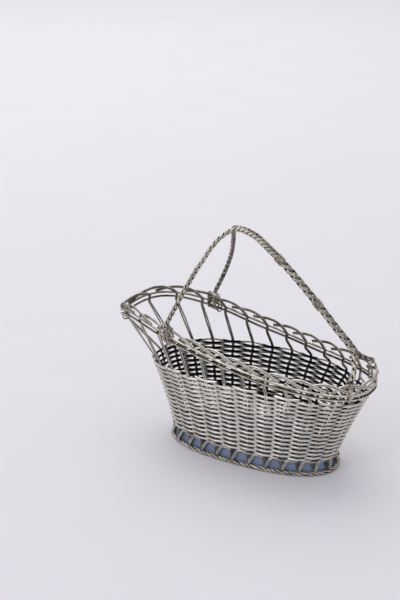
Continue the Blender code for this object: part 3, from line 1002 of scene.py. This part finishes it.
def make_hoops(material):
    """The two smooth hoops of the rim, which stray a little from true."""
    steps = HOOP_STEPS * STAKE_COUNT
    hoops = []
    for lower, phase in enumerate(HOOP_PHASES):
        wire = []
        for step in range(steps):
            share = rim_share(step / steps)
            turn = 2 * math.pi * share
            strays = HOOP_WANDER * math.sin(HOOP_WAVES * turn + phase)
            wire.append(rim_point(share, strays, strays - lower * hoop_spacing(RIM.at(share))))
        hoops.append(wire)
    for lower, name in enumerate(("upper_hoop", "lower_hoop")):
        bend_wires(
            f"{name}_wire",
            [hoops[lower]],
            HOOP_SHOWN,
            material,
            [name],
            closed=True,
            shade_and_tarnish=[[neck_dullness(place) for place in hoops[lower]]],
            hollow_shade=HOOP_HOLLOW_SHADE,
            group=hoops,
            inside=INSIDE_SHADE,
            seed=6 + lower,
        )


def loop_place(angle, half_width, half_height):
    """A place on a rounded oblong loop, as (outward, up)."""
    across, up = math.cos(angle), math.sin(angle)
    power = 2 / LOOP_SQUARENESS
    return (
        math.copysign(abs(across) ** power, across) * half_width,
        math.copysign(abs(up) ** power, up) * half_height,
    )


def lashing_size(share):
    """A knot's loop round the whole rim: how far out, its middle's height and its half height."""
    margin = CLEARANCE + LASHING_WIRE / 2
    outward = BORDER_FRONT + STAKE_WIRE / 2 + margin
    top = arch_height(RIM.at(share)) + STAKE_WIRE + margin
    bottom = -hoop_spacing(RIM.at(share)) - HOOP_WIRE / 2 - margin
    return outward, (top + bottom) / 2, (top - bottom) / 2


def round_rim(share, first, last, turns, slant, wider):
    """A wire wound round the whole rim from one place along it to another, in metres from the knot."""
    outward, middle, half_height = lashing_size(share)
    steps = round(turns * KNOT_STEPS)
    wire = []
    for step in range(steps + 1):
        angle = step / KNOT_STEPS * 2 * math.pi - math.pi / 2
        out, up = loop_place(angle, outward + wider, half_height + wider / 2)
        along = first + (last - first) * step / steps + slant * math.sin(angle)
        wire.append(rim_point(share + along / RIM.round, out, middle + up))
    return wire


def rope_end(share, outward):
    """Where a rope of the handle stands on its knot."""
    _, middle, half_height = lashing_size(share)
    seat = middle + half_height + LASHING_WIRE / 2 + CLEARANCE + HANDLE_ROPE / 4
    return rim_point(share, outward, seat)


def rear_leg_point(share, beside):
    """A place on the rear leg, from the apex at 0 to the split at 1."""
    start = Vector((REAR_LEG_START, beside, APEX_HEIGHT - REAR_LEG_START_DROP))
    split = Vector((SPLIT_PLACE, beside, SPLIT_HEIGHT))
    place = start.lerp(split, share)
    place.z += REAR_LEG_BOW * math.sin(math.pi * share**REAR_LEG_BOW_SHARE)
    return place


def rope_points(side):
    """The rope's way from the neck knot over the apex to the rear knot; side is -1 near, 1 far."""
    beside = side * (HANDLE_ROPE + CLEARANCE) / 2
    foot = rope_end(rim_share(NECK_KNOT * PITCH_SHARE), ROPE_STANDS_OUT)
    foot.y = abs(foot.y) * side
    apex = Vector((APEX_PLACE, beside, APEX_HEIGHT))
    points = []
    for along, up, out in FRONT_LEG_SHARES:
        spread = side * max(abs(foot.y) * out, abs(beside))
        points.append(Vector((foot.x + (apex.x - foot.x) * along, spread, foot.z + (apex.z - foot.z) * up)))
    points.append(apex)
    for share in (0, *REAR_LEG_SHARES):
        points.append(rear_leg_point(share, beside))
    split = points[-1]
    end = rope_end(rim_share(REAR_KNOT * PITCH_SHARE), 0)
    end.y = abs(end.y) * side
    for along, down, out in SPLIT_SHARES:
        points.append(
            Vector(
                (
                    split.x + (end.x - split.x) * along,
                    split.y + (end.y - split.y) * out,
                    split.z + (end.z - split.z) * down,
                )
            )
        )
    points.append(end)
    return points


def rope_lay(place):
    """How long one twist is here: even in the front legs, tight over the apex, drawn out down the
    rear leg."""
    if place.x < APEX_PLACE:
        return FRONT_LAY
    binding = rear_leg_point(UPPER_BINDING_SHARE, 0).x
    return APEX_LAY if place.x < binding else REAR_LAY


def make_rope(side, word, material):
    """A handle rope of two strands, each of two wires, twisted the opposite way to its neighbour."""
    path = bend_places(rope_points(side), ROPE_SPACING)
    beside = (HANDLE_ROPE + CLEARANCE) / 2
    for place in path:
        place.y = side * max(side * place.y, beside)
    turns = [0]
    for before, after in zip(path, path[1:]):
        turns.append(turns[-1] + side * (after - before).length / rope_lay(after))
    angles = [strand + bent for strand in (0, math.pi) for bent in (-PAIR_ANGLE, PAIR_ANGLE)]
    wires = wind(path, angles, HANDLE_STRAND, turns)
    # The far rope is painted darker than the near one, as shade.
    dull = FAR_ROPE_SHADE if side > 0 else NEAR_ROPE_SHADE
    bend_wires(
        f"{word}_rope_wires",
        wires,
        HANDLE_WIRE,
        material,
        [f"{word}_rope"],
        shade_and_tarnish=[[dull] * len(path) for _ in wires],
        hollow_shade=ROPE_HOLLOW_SHADE,
        seed=20 + side,
    )


def make_neck_knot(side, word, material):
    """The front leg's wires, tied round the rim."""
    share = rim_share(-side * NECK_KNOT * PITCH_SHARE)
    to_rear = -side
    wires = []
    for first, last, turns, slant, wider in NECK_WINDINGS:
        wires.append(round_rim(share, first * to_rear, last * to_rear, turns, slant * to_rear, wider))
    name = f"{word}_neck_lashing"
    dark = [[neck_dullness(place) for place in wire] for wire in wires]
    bend_wires(
        f"{name}_wires",
        wires,
        KNOT_WIRE,
        material,
        [name],
        shade_and_tarnish=dark,
        inside=INSIDE_SHADE,
        seed=30 + side,
    )


def make_rear_knot(side, word, material):
    """The rear end's wire, tied round the rim beside the tip, and the end that hooks back."""
    share = rim_share(-side * REAR_KNOT * PITCH_SHARE)
    wires = [round_rim(share, *REAR_WINDING)]
    hook = []
    for along, outward, above in HOOK_PLACES:
        place = share - side * along / RIM.round
        hook.append(rim_point(place, outward, above))
    wires.append(bend_places(hook, ROPE_SPACING))
    dark = [[HIDDEN_DULLNESS] * len(wires[0]), [0] * len(wires[1])]
    name = f"{word}_rear_lashing"
    bend_wires(
        f"{name}_wires",
        wires,
        LASHING_WIRE,
        material,
        [name],
        shade_and_tarnish=dark,
        seed=40 + side,
    )


def make_binding(name, share, material):
    """Close turns of thin wire that hold the two ropes of the rear leg together."""
    middle = rear_leg_point(share, 0)
    along = (rear_leg_point(share + TANGENT_STEP_SHARE, 0) - middle).normalized()
    across = Vector((0, 1, 0))
    up = along.cross(across)
    half_width = HANDLE_ROPE + CLEARANCE + BINDING_WIRE / 2
    half_height = HANDLE_ROPE / 2 + CLEARANCE + BINDING_WIRE / 2
    wire = []
    for step in range(BINDING_TURNS * KNOT_STEPS + 1):
        out, rise = loop_place(step / KNOT_STEPS * 2 * math.pi, half_width, half_height)
        run = (step / KNOT_STEPS - BINDING_TURNS / 2) * BINDING_PITCH
        wire.append(middle + run * along + out * across + rise * up)
    forward, away = BINDING_TAIL
    wire.append(wire[-1] + forward * along - away * across)
    dark = [BINDING_DULLNESS] * len(wire)
    bend_wires(f"{name}_wire", [wire], BINDING_WIRE, material, [name], shade_and_tarnish=[dark], seed=50)


def make_eye(material):
    """A small open ring of wire, threaded on the lower hoop beside the neck."""
    share = rim_share(EYE_KNOT * PITCH_SHARE)
    under_upper_hoop = -(HOOP_WIRE + EYE_WIRE) / 2 - CLEARANCE
    radius = (EYE_DIAMETER - EYE_WIRE) / 2
    wire = []
    for step in range(EYE_STEPS):
        angle = step / EYE_STEPS * 2 * math.pi
        outward = EYE_OUTWARD + radius * math.cos(angle)
        wire.append(rim_point(share, outward, under_upper_hoop - radius + radius * math.sin(angle)))
    dark = [EYE_DULLNESS] * len(wire)
    bend_wires(
        "lip_eye_wire",
        [wire],
        EYE_WIRE,
        material,
        ["lip_eye"],
        closed=True,
        shade_and_tarnish=[dark],
        seed=60,
    )


def finish_pan(material):
    """The pan's own solid shows, in its slate-blue finish."""
    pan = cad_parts["base_pan"]
    for number in range(len(pan.material_slots)):
        pan.material_slots[number].material = material


def make_camera():
    camera = bpy.data.objects.new("studio_camera", bpy.data.cameras.new("studio_camera"))
    bpy.context.scene.collection.objects.link(camera)
    level = math.cos(CAMERA_ELEVATION)
    back = Vector(
        (math.sin(CAMERA_AZIMUTH) * level, -math.cos(CAMERA_AZIMUTH) * level, math.sin(CAMERA_ELEVATION))
    )
    camera.location = CAMERA_PLACE
    camera.rotation_mode = "QUATERNION"
    camera.rotation_quaternion = back.to_track_quat("Z", "Y")
    camera.data.lens = CAMERA_LENS
    camera.data.clip_start = CAMERA_NEAR_CLIP
    bpy.context.scene.camera = camera


def make_floor(material):
    bpy.ops.object.select_all(action="DESELECT")
    bpy.ops.mesh.primitive_plane_add(size=FLOOR_SIZE)
    floor = bpy.context.object
    floor.name = "studio_floor"
    floor.data.materials.append(material)


def add_softbox(name, place, size, power, colour):
    """A large square light that faces the basket."""
    light = bpy.data.lights.new(name, "AREA")
    light.shape = "SQUARE"
    light.size = size
    light.energy = power
    light.color = srgb(colour)[:3]
    softbox = bpy.data.objects.new(name, light)
    bpy.context.scene.collection.objects.link(softbox)
    softbox.location = place
    softbox.rotation_mode = "QUATERNION"
    softbox.rotation_quaternion = (Vector(place) - Vector(LIGHT_AIM)).to_track_quat("Z", "Y")


def make_lights():
    """A window-like softbox high up behind on the left, a weak fill in front on the left, and a pale
    room that is darker low down."""
    add_softbox("window_light", WINDOW_PLACE, WINDOW_SIZE, WINDOW_POWER, "#FFFDF8")
    add_softbox("fill_light", FILL_PLACE, FILL_SIZE, FILL_POWER, "#F6F7FF")
    world = bpy.data.worlds.new("pale_room")
    bpy.context.scene.world = world
    world.use_nodes = True
    tree = world.node_tree
    direction = tree.nodes.new("ShaderNodeTexCoord")
    parts = tree.nodes.new("ShaderNodeSeparateXYZ")
    height = tree.nodes.new("ShaderNodeMapRange")
    walls = tree.nodes.new("ShaderNodeMix")
    walls.data_type = "RGBA"
    height.inputs["From Min"].default_value = 0
    height.inputs["From Max"].default_value = ROOM_BLEND_SHARE
    walls.inputs["A"].default_value = srgb(ROOM_LOW)
    walls.inputs["B"].default_value = srgb(ROOM_HIGH)
    tree.links.new(direction.outputs["Generated"], parts.inputs["Vector"])
    tree.links.new(parts.outputs["Z"], height.inputs["Value"])
    tree.links.new(height.outputs["Result"], walls.inputs["Factor"])
    tree.links.new(walls.outputs["Result"], tree.nodes["Background"].inputs["Color"])
    tree.nodes["Background"].inputs["Strength"].default_value = ROOM_STRENGTH
    bpy.context.scene.view_settings.view_transform = "Standard"


def build():
    weave = woven_silver()
    stake = stake_silver()
    hoop = hoop_silver()
    foot = foot_silver()
    rope = rope_silver()
    tie = tie_silver()
    finish_pan(blued_sheet())
    make_foot_ring(foot)
    make_lacing(lacing_silver())
    make_weave(weave)
    for index in range(STAKE_COUNT):
        make_stake(index, stake)
    make_hoops(hoop)
    make_eye(tie)
    for side, word in ((-1, "near"), (1, "far")):
        make_rope(side, word, rope)
        make_neck_knot(side, word, tie)
        make_rear_knot(side, word, tie)
    make_binding("upper_binding", UPPER_BINDING_SHARE, tie)
    make_binding("lower_binding", LOWER_BINDING_SHARE, tie)


make_camera()
make_floor(pale_paper())
make_lights()
build()
bpy.context.view_layer.update()
